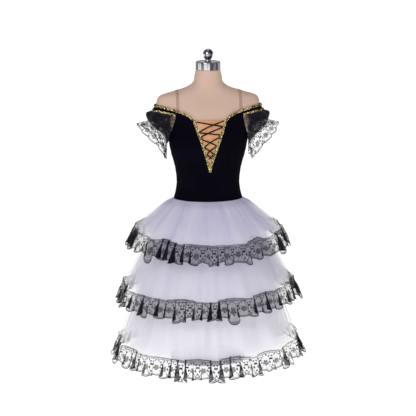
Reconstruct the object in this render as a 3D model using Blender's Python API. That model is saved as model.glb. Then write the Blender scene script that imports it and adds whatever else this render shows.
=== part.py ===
# A ballet dress on a limbless dress form: black bodice with a laced V, off-shoulder lace
# sleeves and a skirt of three tulle tiers, each edged with a gathered lace flounce.
# Metres, +Z up, the front towards -Y, the origin under the middle of the foot plate.
import math

import bpy
import numpy as np

# Heights
SEAM_Z = 0.660            # waist seam
UNDERARM_Z = 0.895        # lowest point of the armhole
VEE_POINT_Z = 0.788       # tip of the V
VEE_TOP_Z = 0.987         # upper corners of the V
NECK_TOP_Z = 1.176        # where the neck meets the cap
FORM_FOOT_Z = 0.500       # underside of the dress form

# Walls and gaps
SEAM_GAP = 0.0004         # between pieces sewn edge to edge
LAYER_GAP = 0.0005        # between a piece and what lies on it
BODICE_CLEARANCE = 0.0025 # between the form and the bodice
BODICE_WALL = 0.0013
TULLE_WALL = 0.0010
LACE_WALL = 0.0010
TRIM_WALL = 0.0012
STRAP_WALL = 0.0010

# Trims, straps and lacing
TRIM_WIDTH = 0.009
STRAP_WIDTH = 0.012
STRAP_X = 0.124
STRAP_CLEARANCE = 0.0010  # between the form and a strap
STRAP_TUCK = 0.006        # how far a strap runs down inside the bodice
LACING_RADIUS = 0.0022
BACK_SCOOP_Z = 0.930      # back neckline at the centre

# Foot, pole, cap and finial
FOOT_RADIUS = 0.150
FOOT_HEIGHT = 0.008
HUB_RADIUS = 0.028
HUB_HEIGHT = 0.030
POLE_RADIUS = 0.0125
CAP_RADIUS = 0.0495
CAP_HEIGHT = 0.030
STEM_RADIUS = 0.013
STEM_HEIGHT = 0.012
BALL_RADIUS = 0.0215

# Flounces: waves round each one, and the heights of its heading, gathering and lower edge
FLOUNCE = {
    "upper": {"waves": 28, "heading": 0.541, "gather": 0.528, "lower": 0.466, "flare": 0.013},
    "middle": {"waves": 30, "heading": 0.318, "gather": 0.306, "lower": 0.243, "flare": 0.013},
    "hem": {"waves": 32, "heading": 0.092, "gather": 0.080, "lower": 0.016, "flare": 0.012},
}
FLOUNCE_AMPLITUDE = {"heading": 0.0035, "gather": 0.0012, "lower": 0.0085}
FOLDS_PER_TIER = 14
FOLD_DEPTH = 0.008
SLEEVE_WAVES = 12
FLOUNCE_SEED = 11          # the flounces' waves are uneven, from this seed and the next two
SLEEVE_SEED = 31
COLUMNS_PER_WAVE = 4

# Sections of the dress form: height, half width, depth to the front, depth to the back
FORM_SECTIONS = np.array([
    (0.500, 0.1600, 0.1040, 0.1120),
    (0.540, 0.1620, 0.1060, 0.1160),
    (0.580, 0.1570, 0.1040, 0.1120),
    (0.620, 0.1460, 0.0980, 0.1020),
    (0.660, 0.1335, 0.0920, 0.0900),
    (0.690, 0.1260, 0.0880, 0.0840),
    (0.720, 0.1220, 0.0855, 0.0805),
    (0.745, 0.1225, 0.0870, 0.0800),
    (0.790, 0.1290, 0.0950, 0.0830),
    (0.850, 0.1450, 0.1130, 0.0910),
    (0.893, 0.1530, 0.1220, 0.0970),
    (0.930, 0.1575, 0.1190, 0.1010),
    (0.970, 0.1700, 0.1080, 0.1020),
    (1.010, 0.1870, 0.0940, 0.0990),
    (1.040, 0.2040, 0.0810, 0.0930),
    (1.058, 0.2015, 0.0720, 0.0860),
    (1.074, 0.1870, 0.0640, 0.0770),
    (1.089, 0.1370, 0.0580, 0.0670),
    (1.105, 0.0880, 0.0540, 0.0590),
    (1.122, 0.0625, 0.0510, 0.0540),
    (1.150, 0.0545, 0.0490, 0.0500),
    (1.176, 0.0480, 0.0480, 0.0480),
])

# Half width of the V at each height
VEE_EDGE = np.array([
    (0.788, 0.0000),
    (0.816, 0.0062),
    (0.844, 0.0142),
    (0.890, 0.0285),
    (0.930, 0.0425),
    (0.987, 0.0620),
])

# Front neckline: distance from the middle, height
NECKLINE = np.array([
    (0.062, 0.987),
    (0.075, 1.002),
    (0.094, 1.013),
    (0.118, 1.022),
    (0.131, 1.0265),
])

# Armhole edge: height, angle round the body from the middle of the front or the back
ARMHOLE = np.array([
    (0.895, 90.0),
    (0.905, 82.0),
    (0.920, 75.5),
    (0.950, 61.0),
    (0.980, 51.0),
    (1.000, 46.2),
    (1.030, 42.0),
])

# Sections of each tier: height, half width, depth to the front, depth to the back
TIERS = {
    "upper": np.array([
        (0.642, 0.172, 0.138, 0.140),
        (0.606, 0.214, 0.190, 0.193),
        (0.566, 0.257, 0.244, 0.247),
        (0.5275, 0.296, 0.293, 0.294),
    ]),
    "middle": np.array([
        (0.540, 0.217, 0.198, 0.202),
        (0.3055, 0.337, 0.335, 0.336),
    ]),
    "hem": np.array([
        (0.500, 0.213, 0.195, 0.199),
        (0.0795, 0.358, 0.357, 0.358),
    ]),
}
TIER_ORDER = ("hem", "middle", "upper")   # from the form outwards at the waist

# How far each tier's edge hangs above its level: at the front, at both sides, more on +X than on -X
HANG = {
    "upper": (-0.012, 0.005, 0.000),
    "middle": (0.003, 0.010, 0.013),
    "hem": (-0.004, 0.004, 0.011),
}

# Rings of a sleeve on the +X side, from the outermost point round the front: x, y, z.
# Its top ring runs along the shoulder band and then under the arm.
SLEEVE_TOP = np.array([
    (0.2218, 0.006, 1.008),
    (0.1932, -0.0502, 1.0095),
    (0.1390, -0.0725, 0.9995),
    (0.1500, -0.0680, 0.950),
    (0.1670, 0.000, 0.911),
    (0.1500, 0.0690, 0.950),
    (0.1390, 0.0755, 0.9995),
    (0.1932, 0.0582, 1.0095),
])
SLEEVE_SEAM = np.array([
    (0.2360, 0.004, 0.972),
    (0.2180, -0.064, 0.958),
    (0.1890, -0.090, 0.938),
    (0.1660, -0.066, 0.904),
    (0.1680, 0.000, 0.885),
    (0.1660, 0.068, 0.904),
    (0.1890, 0.092, 0.938),
    (0.2180, 0.066, 0.958),
])
SLEEVE_TIP = np.array([
    (0.2730, 0.004, 0.946),
    (0.2500, -0.084, 0.925),
    (0.2130, -0.120, 0.893),
    (0.1790, -0.092, 0.846),
    (0.1790, 0.000, 0.831),
    (0.1790, 0.094, 0.846),
    (0.2130, 0.122, 0.893),
    (0.2500, 0.086, 0.925),
])
# Shoulder band on the +X side between its two ends: top edge and lower edge, x, y, z
BAND_EDGES = np.array([
    (0.1820, -0.0385, 1.036, 0.1930, -0.0500, 1.0105),
    (0.2085, 0.0040, 1.037, 0.2215, 0.0060, 1.0090),
    (0.1820, 0.0440, 1.036, 0.1930, 0.0580, 1.0105),
])
BAND_TRIM_GAP = 0.0009
BAND_END_Z = (1.0265, 1.0010)
BAND_END_TURN = 0.1       # degrees round the body from the armhole edge to the band's end
PUFF_BULGE = 0.014
PUFF_GATHER = 0.0022
SLEEVE_RUFFLE_DEPTH = 0.0065

# Lacing: the height at which each run meets the left and the right side of the V
LACE_A_RUNS = ((0.981, 0.963, 1), (0.926, 0.959, -1), (0.914, 0.892, 1), (0.860, 0.886, -1), (0.853, 0.839, 1))
LACE_B_RUNS = ((0.945, 0.984, -1), (0.941, 0.932, 1), (0.889, 0.922, -1), (0.882, 0.860, 1), (0.839, 0.853, -1))


def clear_scene():
    for old in list(bpy.data.objects):
        bpy.data.objects.remove(old, do_unlink=True)


def material(name, colour, roughness, metallic=0.0):
    made = bpy.data.materials.new(name)
    made.use_nodes = True
    shader = made.node_tree.nodes["Principled BSDF"]
    shader.inputs["Base Color"].default_value = (*colour, 1.0)
    shader.inputs["Roughness"].default_value = roughness
    shader.inputs["Metallic"].default_value = metallic
    return made


def smooth(knots, values, at):
    # A curve through all the knots, with each slope taken from the neighbours on both sides
    knots = np.asarray(knots, float)
    values = np.asarray(values, float)
    slopes = np.gradient(values, knots, axis=0)
    at = np.clip(np.asarray(at, float), knots[0], knots[-1])
    i = np.clip(np.searchsorted(knots, at, side="right") - 1, 0, len(knots) - 2)
    span = knots[i + 1] - knots[i]
    t = (at - knots[i]) / span
    if values.ndim > 1:
        t = t[..., None]
        span = span[..., None]
    return (
        values[i] * (1 + 2 * t) * (1 - t) ** 2
        + values[i + 1] * t * t * (3 - 2 * t)
        + slopes[i] * span * t * (1 - t) ** 2
        - slopes[i + 1] * span * t * t * (1 - t)
    )


def ring_through(stations, turn):
    # A closed curve through the stations; turn runs from 0 to 1 round it
    count = len(stations)
    laps = np.vstack([stations, stations, stations])
    knots = np.arange(3 * count) / count - 1.0
    return smooth(knots, laps, np.asarray(turn) % 1.0)


def form_section(z):
    wide, front, back = smooth(FORM_SECTIONS[:, 0], FORM_SECTIONS[:, 1:], np.asarray(z)).T
    return wide.T, front.T, back.T


def on_form(angle, z, out=0.0):
    # A point on the form's surface, moved out along the surface's normal.
    # The angle is in degrees: 0 at the middle of the front, 90 at +X, 180 at the back.
    angle, z = np.broadcast_arrays(np.asarray(angle, float), np.asarray(z, float))

    def bare(a, height):
        wide, front, back = form_section(height)
        turn = np.radians(a)
        depth = np.where(np.cos(turn) > 0, front, back)
        return np.stack([wide * np.sin(turn), -depth * np.cos(turn), height], axis=-1)

    step_angle = 0.5
    step_z = 0.002
    across = bare(angle + step_angle, z) - bare(angle - step_angle, z)
    up = bare(angle, z + step_z) - bare(angle, z - step_z)
    normal = np.cross(across, up)
    normal /= np.linalg.norm(normal, axis=-1, keepdims=True)
    return bare(angle, z) + normal * np.asarray(out)[..., None]


def angle_at(x, z):
    # The angle at which the form's front section at this height is x from the middle
    return np.degrees(np.arcsin(np.clip(np.asarray(x) / form_section(z)[0], -1, 1)))


def armhole_angle(z):
    return np.where(np.asarray(z) <= UNDERARM_Z, 90.0, smooth(ARMHOLE[:, 0], ARMHOLE[:, 1], z))


def vee_half(z):
    return np.where(
        np.asarray(z) <= VEE_POINT_Z, 0.0, np.maximum(smooth(VEE_EDGE[:, 0], VEE_EDGE[:, 1], z), 0.0)
    )


def normals(grid, closed):
    # Rows run upwards and columns anticlockwise seen from above, so the normals point outwards
    if closed:
        across = np.roll(grid, -1, axis=1) - np.roll(grid, 1, axis=1)
    else:
        across = np.gradient(grid, axis=1)
    up = np.gradient(grid, axis=0)
    found = np.cross(across, up)
    return found / np.linalg.norm(found, axis=-1, keepdims=True)


def wall(name, outer, inner, closed, made_of):
    # One closed solid between two grids of points with the same rows and columns
    rows, columns = outer.shape[:2]
    count = rows * columns
    points = np.vstack([outer.reshape(-1, 3), inner.reshape(-1, 3)])
    faces = []
    last = columns if closed else columns - 1
    for r in range(rows - 1):
        for c in range(last):
            d = (c + 1) % columns
            a, b, e, f = r * columns + c, r * columns + d, (r + 1) * columns + d, (r + 1) * columns + c
            faces.append((a, b, e, f))
            faces.append((count + a, count + f, count + e, count + b))
    for c in range(last):
        d = (c + 1) % columns
        top = (rows - 1) * columns
        faces.append((d, c, count + c, count + d))
        faces.append((top + c, top + d, count + top + d, count + top + c))
    if not closed:
        for r in range(rows - 1):
            a, f = r * columns, (r + 1) * columns
            b, e = a + columns - 1, f + columns - 1
            faces.append((a, f, count + f, count + a))
            faces.append((e, b, count + b, count + e))
    corner = (points - points.mean(axis=0))[np.array(faces)]
    volume = sum(
        np.einsum("ij,ij->", corner[:, 0], np.cross(corner[:, k], corner[:, k + 1])) for k in (1, 2)
    )
    if volume < 0:
        faces = [face[::-1] for face in faces]
    return solid(name, points, faces, made_of)


def solid(name, points, faces, made_of):
    mesh = bpy.data.meshes.new(name)
    mesh.from_pydata([tuple(p) for p in points], [], faces)
    mesh.materials.append(made_of)
    mesh.shade_smooth()
    mesh.set_sharp_from_angle(angle=math.radians(40))
    made = bpy.data.objects.new(name, mesh)
    bpy.context.scene.collection.objects.link(made)
    return made


def cloth(name, outer, thickness, closed, made_of):
    return wall(name, outer, outer - normals(outer, closed) * thickness, closed, made_of)


def turned(name, profile, sides, made_of):
    # A solid turned round Z from a profile of (radius, height) that runs from the bottom to the top;
    # its first and last points lie on the axis
    around = np.arange(sides) * 2 * math.pi / sides
    points = [(0.0, 0.0, profile[0][1])]
    for radius, z in profile[1:-1]:
        points += [(radius * math.cos(a), radius * math.sin(a), z) for a in around]
    points.append((0.0, 0.0, profile[-1][1]))
    rings = len(profile) - 2
    top = len(points) - 1
    faces = []
    for s in range(sides):
        n = (s + 1) % sides
        faces.append((0, 1 + n, 1 + s))
        for r in range(rings - 1):
            low, high = 1 + r * sides, 1 + (r + 1) * sides
            faces.append((low + s, low + n, high + n, high + s))
        faces.append((1 + (rings - 1) * sides + s, 1 + (rings - 1) * sides + n, top))
    return solid(name, points, faces, made_of)


def mirrored(grid):
    # The same grid on the -X side, with its columns turned round so that it still faces outwards
    return (grid * np.array([-1.0, 1.0, 1.0]))[:, ::-1]


def make_form(skin, chrome, enamel):
    levels = FORM_SECTIONS[:, 0]
    between = (levels[1:] + levels[:-1])[4:12] / 2
    heights = np.sort(np.concatenate([levels, between]))
    sides = 26
    angles = np.arange(sides) * 360.0 / sides
    rings = on_form(angles[None, :], heights[:, None])
    points = [(0, 0, heights[0])] + [tuple(p) for p in rings.reshape(-1, 3)] + [(0, 0, heights[-1])]
    top = len(points) - 1
    faces = []
    for s in range(sides):
        n = (s + 1) % sides
        faces.append((0, 1 + n, 1 + s))
        for r in range(len(heights) - 1):
            low, high = 1 + r * sides, 1 + (r + 1) * sides
            faces.append((low + s, low + n, high + n, high + s))
        faces.append((1 + (len(heights) - 1) * sides + s, 1 + (len(heights) - 1) * sides + n, top))
    solid("form_torso", points, faces, skin)

    gap = 0.0003
    cap_foot = NECK_TOP_Z + gap
    cap_top = cap_foot + CAP_HEIGHT
    rim = 0.0015
    turned("neck_cap", [(0, cap_foot), (CAP_RADIUS - rim, cap_foot), (CAP_RADIUS, cap_foot + rim),
                        (CAP_RADIUS, cap_top - rim), (CAP_RADIUS - rim, cap_top), (0, cap_top)], 24, chrome)
    stem_foot = cap_top + gap
    stem_top = stem_foot + STEM_HEIGHT
    ball_middle = stem_top + BALL_RADIUS * 0.78
    profile = [(0, stem_foot), (STEM_RADIUS * 1.12, stem_foot), (STEM_RADIUS, stem_foot + 0.003),
               (STEM_RADIUS, stem_top)]
    for turn in np.radians(np.arange(-40, 90, 18)):
        profile.append((BALL_RADIUS * math.cos(turn), ball_middle + BALL_RADIUS * math.sin(turn)))
    profile.append((0, ball_middle + BALL_RADIUS))
    turned("finial", profile, 16, chrome)

    hub_top = FOOT_HEIGHT + HUB_HEIGHT
    turned("foot_plate", [(0, 0), (FOOT_RADIUS - 0.001, 0), (FOOT_RADIUS, 0.001), (FOOT_RADIUS, FOOT_HEIGHT - 0.002),
                          (FOOT_RADIUS - 0.004, FOOT_HEIGHT), (HUB_RADIUS, FOOT_HEIGHT),
                          (HUB_RADIUS * 0.75, hub_top), (0, hub_top)], 28, enamel)
    turned("pole", [(0, hub_top + gap), (POLE_RADIUS, hub_top + gap),
                    (POLE_RADIUS, FORM_FOOT_Z - gap), (0, FORM_FOOT_Z - gap)], 16, chrome)


def front_panel():
    # From the middle and the V edge to the side seam and the armhole, on the +X side
    rows = np.array([0.0, 0.12, 0.245, 0.367, 0.46, 0.55, 0.64, 0.68, 0.73, 0.80, 0.87, 0.935, 1.0])
    columns = np.linspace(0, 1, 10)
    top_x = NECKLINE[0, 0] + (NECKLINE[-1, 0] - NECKLINE[0, 0]) * columns
    top_z = smooth(NECKLINE[:, 0], NECKLINE[:, 1], top_x)
    z = SEAM_Z + (top_z[None, :] - SEAM_Z) * rows[:, None]
    near = angle_at(vee_half(z) + SEAM_GAP / 2, z)
    far = armhole_angle(z) - np.degrees(SEAM_GAP / 2 / form_section(z)[1])
    angles = near + (far - near) * columns[None, :]
    outer = on_form(angles, z, BODICE_CLEARANCE + BODICE_WALL)
    inner = on_form(angles, z, BODICE_CLEARANCE)
    return outer, inner


def back_neck(share):
    # Height of the back neckline; share runs from -1 to 1 between the armholes
    corner = NECKLINE[-1, 1]
    return corner - (corner - BACK_SCOOP_Z) * np.cos(np.asarray(share) * math.pi / 2) ** 1.3


def back_panel():
    rows = np.array([0.0, 0.12, 0.24, 0.36, 0.48, 0.57, 0.64, 0.68, 0.73, 0.80, 0.87, 0.935, 1.0])
    columns = np.linspace(-1, 1, 17)
    z = SEAM_Z + (back_neck(columns)[None, :] - SEAM_Z) * rows[:, None]
    half = armhole_angle(z) - np.degrees(SEAM_GAP / 2 / form_section(z)[1])
    angles = 180.0 + half * columns[None, :]
    outer = on_form(angles, z, BODICE_CLEARANCE + BODICE_WALL)
    inner = on_form(angles, z, BODICE_CLEARANCE)
    return outer, inner


def make_bodice(velvet, satin, sequins):
    outer, inner = front_panel()
    wall("bodice_front_R", outer, inner, False, velvet)
    wall("bodice_front_L", mirrored(outer), mirrored(inner), False, velvet)
    outer, inner = back_panel()
    wall("bodice_back", outer, inner, False, velvet)

    z = np.array([0.801, 0.82, 0.842, 0.866, 0.89, 0.92, 0.955, VEE_TOP_Z])[:, None]
    half = angle_at(vee_half(z) - SEAM_GAP, z)
    angles = half * np.linspace(-1, 1, 7)[None, :]
    wall("vee_insert", on_form(angles, z, BODICE_CLEARANCE + BODICE_WALL),
         on_form(angles, z, BODICE_CLEARANCE), False, satin)

    low = BODICE_CLEARANCE + BODICE_WALL + LAYER_GAP
    z = np.linspace(VEE_POINT_Z - 0.007, VEE_TOP_Z - 0.0005, 14)[:, None]
    edge = np.maximum(vee_half(z), 0.0)
    sides = np.hstack([np.maximum(edge - TRIM_WIDTH / 2, SEAM_GAP / 2), edge + TRIM_WIDTH / 2])
    angles = angle_at(sides, np.repeat(z, 2, axis=1))
    outer = on_form(angles, z, low + TRIM_WALL)
    inner = on_form(angles, z, low)
    wall("vee_trim_R", outer, inner, False, sequins)
    wall("vee_trim_L", mirrored(outer), mirrored(inner), False, sequins)

    x = np.linspace(VEE_EDGE[-1, 1] + TRIM_WIDTH / 2 + SEAM_GAP, NECKLINE[-1, 0] - SEAM_GAP, 10)[None, :]
    top = smooth(NECKLINE[:, 0], NECKLINE[:, 1], x)
    z = np.vstack([top - TRIM_WIDTH, top])
    angles = angle_at(np.vstack([x, x]), z)
    outer = on_form(angles, z, low + TRIM_WALL)
    inner = on_form(angles, z, low)
    wall("neck_trim_R", outer, inner, False, sequins)
    wall("neck_trim_L", mirrored(outer), mirrored(inner), False, sequins)

    share = np.linspace(-1, 1, 17)[None, :]
    top = back_neck(share)
    z = np.vstack([top - TRIM_WIDTH, top])
    half = armhole_angle(np.vstack([top, top])) - 0.4
    angles = 180.0 + half * share
    wall("neck_trim_back", on_form(angles, z, low + TRIM_WALL), on_form(angles, z, low), False, sequins)


def lacing_path(runs, over):
    # Each run crosses between the two trims; the cord turns in a small bend beside the trim
    depth = BODICE_CLEARANCE + BODICE_WALL + LAYER_GAP + LACING_RADIUS
    lift = 2 * LACING_RADIUS + LAYER_GAP
    shares = np.linspace(-1, 1, 5)
    points = []
    for left, right, way in runs:
        across = shares * way
        z = left + (right - left) * (across + 1) / 2
        reach = vee_half(z) - TRIM_WIDTH / 2 - LACING_RADIUS - 5 * LAYER_GAP
        x = across * np.maximum(reach, 0.001)
        raised = lift * over * np.cos(across * math.pi / 2) ** 0.7
        points.append(on_form(angle_at(x, z), z, depth + raised))
    return np.vstack(points)


def make_lacing(name, runs, over, made_of):
    knots = lacing_path(runs, over)
    along = np.arange(len(knots), dtype=float)
    fine = smooth(along, knots, np.linspace(0, along[-1], 2 * len(knots) - 1))
    curve = bpy.data.curves.new(name, "CURVE")
    curve.dimensions = "3D"
    curve.bevel_depth = LACING_RADIUS
    curve.bevel_resolution = 1
    curve.use_fill_caps = True
    spline = curve.splines.new("POLY")
    spline.points.add(len(fine) - 1)
    for spot, place in zip(spline.points, fine):
        spot.co = (*place, 1.0)
    curve.materials.append(made_of)
    made = bpy.data.objects.new(name, curve)
    bpy.context.scene.collection.objects.link(made)


def over_shoulder(x, angle):
    # Distance from inside the shoulder to the form's surface, at this x and this angle from the front
    start = np.array([x, 0.005, 1.0])
    way = np.array([0.0, -math.cos(angle), math.sin(angle)])
    near, far = 0.0, 0.2
    for _ in range(40):
        middle = (near + far) / 2
        spot = start + way * middle
        wide, front, back = form_section(spot[2])
        inside = (spot[0] / wide) ** 2 + (spot[1] / (front if spot[1] < 0 else back)) ** 2 < 1
        near, far = (middle, far) if inside and spot[2] < NECK_TOP_Z else (near, middle)
    return start + way * near


def make_strap(side, name, made_of):
    front_end = smooth(NECKLINE[:, 0], NECKLINE[:, 1], STRAP_X) - STRAP_TUCK
    back_end = back_neck(0.86) - STRAP_TUCK
    angles = np.radians(np.linspace(-10, 190, 401))
    middle = np.array([over_shoulder(STRAP_X, a) for a in angles])
    keep = np.where(angles < math.pi / 2, middle[:, 2] > front_end, middle[:, 2] > back_end)
    kept = angles[keep]
    stations = np.linspace(kept[0], kept[-1], 21)
    edges = STRAP_X + np.array([STRAP_WIDTH / 2, -STRAP_WIDTH / 2])
    grid = np.array([[over_shoulder(x, a) for x in edges] for a in stations])
    out = normals(grid, False)
    if out[10, 0, 2] < 0:
        out = -out
    inner = grid + out * STRAP_CLEARANCE
    outer = inner + out * STRAP_WALL
    if side < 0:
        outer, inner = mirrored(outer), mirrored(inner)
    return wall(name, outer, inner, False, made_of)


def wave_columns(waves, seed):
    # Angles of the columns, four to a wave, with waves of uneven length; also each column's phase
    rng = np.random.default_rng(seed)
    lengths = 1 + 0.42 * (rng.random(waves) - 0.5)
    starts = np.concatenate([[0], np.cumsum(lengths)]) / lengths.sum() * 360
    phase = np.arange(waves * COLUMNS_PER_WAVE) / COLUMNS_PER_WAVE
    angles = np.interp(phase, np.arange(waves + 1), starts)
    depth = 0.75 + 0.5 * rng.random(waves)
    return angles, np.cos(2 * math.pi * phase), depth[(phase + 0.5).astype(int) % waves]


def hang(name, angles):
    front, sides, tilt = HANG[name]
    turn = np.radians(angles)
    return front * np.maximum(np.cos(turn), 0.0) ** 2 + sides * np.sin(turn) ** 2 + tilt * np.sin(turn)


def tier_rings(name, angles):
    # Outer points of a tier: rows from its hem up to the waist seam, columns at the given angles
    sections = TIERS[name][::-1]
    place = TIER_ORDER.index(name)
    waist_out = 0.0007 + place * (TULLE_WALL + LAYER_GAP) + TULLE_WALL
    fold = FOLDS_PER_TIER * np.radians(angles) + 1.3 * np.sin(2 * np.radians(angles) + place)
    depth = FOLD_DEPTH * (0.8 + 0.35 * np.sin(3 * np.radians(angles) + 2 * place))
    rings = []
    hem_z = sections[0, 0]
    for z, wide, front, back in sections:
        turn = np.radians(angles)
        reach = np.where(np.cos(turn) > 0, front, back)
        fallen = (SEAM_Z - z) / (SEAM_Z - hem_z)
        swell = depth * fallen ** 0.8 * np.cos(fold)
        rings.append(np.stack([(wide + swell) * np.sin(turn), -(reach + swell) * np.cos(turn),
                               z + hang(name, angles) * fallen ** 1.5], axis=-1))
    waist = on_form(angles, np.full_like(angles, SEAM_Z - SEAM_GAP))
    flat_out = waist * np.array([1, 1, 0])
    flat_out /= np.linalg.norm(flat_out, axis=-1, keepdims=True)
    rings.append(waist + flat_out * waist_out)
    return np.array(rings)


def between_columns(ring, angles_of_ring, at):
    # Points at other angles on the straight sides between a ring's columns
    knots = np.concatenate([angles_of_ring, [angles_of_ring[0] + 360]])
    closed = np.vstack([ring, ring[:1]])
    return np.stack([np.interp(at, knots, closed[:, k]) for k in range(3)], axis=-1)


def make_skirt(tulle, lace):
    for place, name in enumerate(FLOUNCE):
        size = FLOUNCE[name]
        angles, wave, depth = wave_columns(size["waves"], FLOUNCE_SEED + place)
        rings = tier_rings(name, angles[::2])
        cloth("tier_" + name, rings, TULLE_WALL, True, tulle)

        hem = between_columns(rings[0], angles[::2], angles)
        above = between_columns(rings[1], angles[::2], angles)
        outward = hem * np.array([1, 1, 0])
        outward /= np.linalg.norm(outward, axis=-1, keepdims=True)
        slope = (above - hem) / (above[:, 2:] - hem[:, 2:])

        def ring_at(z, out, swing):
            above_hem = z - TIERS[name][-1, 0]
            base = hem + slope * max(above_hem, 0.0)
            base[:, 2] = hem[:, 2] + above_hem
            ripple = swing * depth * (0.5 + 0.5 * wave)
            return base + outward * (out + ripple)[:, None]

        lean = np.linalg.norm(slope, axis=-1)
        clear = (LAYER_GAP + LACE_WALL + 0.0004) * lean
        drop = 0.004 * np.sin(np.radians(angles) * 3 + place)
        rows = np.array([
            ring_at(size["lower"], clear + size["flare"], 2 * FLOUNCE_AMPLITUDE["lower"])
            + np.stack([0 * drop, 0 * drop, np.abs(drop)], axis=-1),
            ring_at(size["gather"], clear, 2 * FLOUNCE_AMPLITUDE["gather"]),
            ring_at(size["heading"], clear + 0.0012, 2 * FLOUNCE_AMPLITUDE["heading"]),
        ])
        cloth("lace_" + name, rows, LACE_WALL, True, lace)


def band_ends(turn_of):
    # One end of the shoulder band, beside the armhole edge; turn_of gives its angle round the body
    out = BODICE_CLEARANCE + BODICE_WALL
    return np.concatenate([on_form(turn_of(armhole_angle(z) + BAND_END_TURN), z, out) for z in BAND_END_Z])


def make_band(side, tag, velvet, sequins):
    stations = np.vstack([band_ends(lambda a: a), BAND_EDGES, band_ends(lambda a: 180 - a)])
    edges = smooth(np.arange(5), stations, np.linspace(0, 4, 25))
    top, low = edges[:, :3], edges[:, 3:]
    grid = np.stack([low, top])
    out = normals(grid, False)

    def strip(name, from_share, to_share, lift, thickness, made_of):
        # Part of the band between two shares of its height, moved out by lift
        shares = np.array([from_share, to_share])[:, None, None]
        inner = low + (top - low) * shares + out * lift
        outer = inner + out * thickness
        if side < 0:
            outer, inner = mirrored(outer), mirrored(inner)
        wall(name, outer, inner, False, made_of)

    strip("sleeve_band_" + tag, 0.0, 1.0, -LACE_WALL, LACE_WALL, velvet)
    strip("sleeve_trim_top_" + tag, 0.68, 1.0, BAND_TRIM_GAP, TRIM_WALL, sequins)
    strip("sleeve_trim_low_" + tag, 0.02, 0.28, BAND_TRIM_GAP, TRIM_WALL, sequins)


def make_sleeve(side, tag, lace):
    # The columns run backwards round the rings, so that the walls face outwards
    angles, wave, depth = (found[::-1] for found in wave_columns(SLEEVE_WAVES, SLEEVE_SEED))
    turn = angles / 360.0
    top = ring_through(SLEEVE_TOP, turn)
    seam = ring_through(SLEEVE_SEAM, turn)
    tip = ring_through(SLEEVE_TIP, turn)
    middle_of_top = top.mean(axis=0)
    middle_of_seam = seam.mean(axis=0)
    middle_of_tip = tip.mean(axis=0)

    def away(ring, middle):
        out = ring - middle
        return out / np.linalg.norm(out, axis=-1, keepdims=True)

    def place(grid):
        return mirrored(grid) if side < 0 else grid

    lift = 0.5 + 0.5 * wave
    rows = []
    for share in (1.0, 0.5, 0.0):
        base = top + (seam - top) * share
        out = away(base, middle_of_top + (middle_of_seam - middle_of_top) * share)
        bulge = PUFF_BULGE * math.sin(math.pi * share) ** 0.8
        gather = PUFF_GATHER * (1 + 1.2 * math.sin(math.pi * share))
        near_body = np.clip((base[:, 0:1] - 0.145) / 0.05, 0.15, 1.0)
        rows.append(base + out * (bulge * near_body + (gather * depth * lift)[:, None]))
    puff = np.array(rows)
    cloth("sleeve_puff_" + tag, place(puff), LACE_WALL, True, lace)

    down = tip - seam
    step = down / np.linalg.norm(down, axis=-1, keepdims=True)
    rows = []
    for share, swing in ((1.0, 1.0), (0.5, 0.6), (0.0, 0.0)):
        base = seam + down * share
        out = away(base, middle_of_seam + (middle_of_tip - middle_of_seam) * share)
        rows.append(base + out * (swing * 2 * SLEEVE_RUFFLE_DEPTH * depth * lift)[:, None])
    rows[-1] = puff[0] + step * 0.0009
    cloth("sleeve_ruffle_" + tag, place(np.array(rows)), LACE_WALL, True, lace)


def make_dress():
    skin = material("form_skin", (0.56, 0.39, 0.32), 0.55)
    chrome = material("chrome", (0.55, 0.55, 0.57), 0.12, 1.0)
    enamel = material("white_enamel", (0.85, 0.85, 0.86), 0.35)
    velvet = material("black_velvet", (0.004, 0.003, 0.010), 0.9)
    satin = material("copper_satin", (0.55, 0.27, 0.12), 0.4)
    gold = material("gold_sequins", (0.55, 0.40, 0.12), 0.3, 0.8)
    cord = material("black_cord", (0.005, 0.004, 0.010), 0.6)
    elastic = material("clear_elastic", (0.62, 0.42, 0.36), 0.35)
    tulle = material("white_tulle", (0.80, 0.78, 0.90), 0.8)
    lace = material("black_lace", (0.012, 0.010, 0.025), 0.7)

    make_form(skin, chrome, enamel)
    make_bodice(velvet, satin, gold)
    make_lacing("lacing_A", LACE_A_RUNS, 0, cord)
    make_lacing("lacing_B", LACE_B_RUNS, 1, cord)
    for side, tag in ((1, "R"), (-1, "L")):
        make_strap(side, "strap_" + tag, elastic)
        make_band(side, tag, velvet, gold)
        make_sleeve(side, tag, lace)
    make_skirt(tulle, lace)


clear_scene()
make_dress()
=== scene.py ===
import math

import bpy
import numpy as np
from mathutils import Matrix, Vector


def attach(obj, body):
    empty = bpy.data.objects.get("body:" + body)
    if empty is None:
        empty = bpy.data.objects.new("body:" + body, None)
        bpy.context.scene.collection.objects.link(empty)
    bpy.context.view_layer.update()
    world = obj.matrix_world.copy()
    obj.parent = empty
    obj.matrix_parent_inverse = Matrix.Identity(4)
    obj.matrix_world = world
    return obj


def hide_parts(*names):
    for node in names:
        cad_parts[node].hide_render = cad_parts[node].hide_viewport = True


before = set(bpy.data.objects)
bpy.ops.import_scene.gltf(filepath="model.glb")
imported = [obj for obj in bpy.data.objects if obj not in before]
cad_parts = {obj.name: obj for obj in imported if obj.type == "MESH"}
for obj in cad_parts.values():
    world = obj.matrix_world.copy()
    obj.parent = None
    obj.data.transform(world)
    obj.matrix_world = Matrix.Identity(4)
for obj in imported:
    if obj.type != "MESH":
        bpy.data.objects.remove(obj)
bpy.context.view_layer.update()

# The dress is black stretch velvet, copper satin, gold sequins, black lace and white tulle.
# Everything is in metres, +Z up, the front towards -Y.


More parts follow.
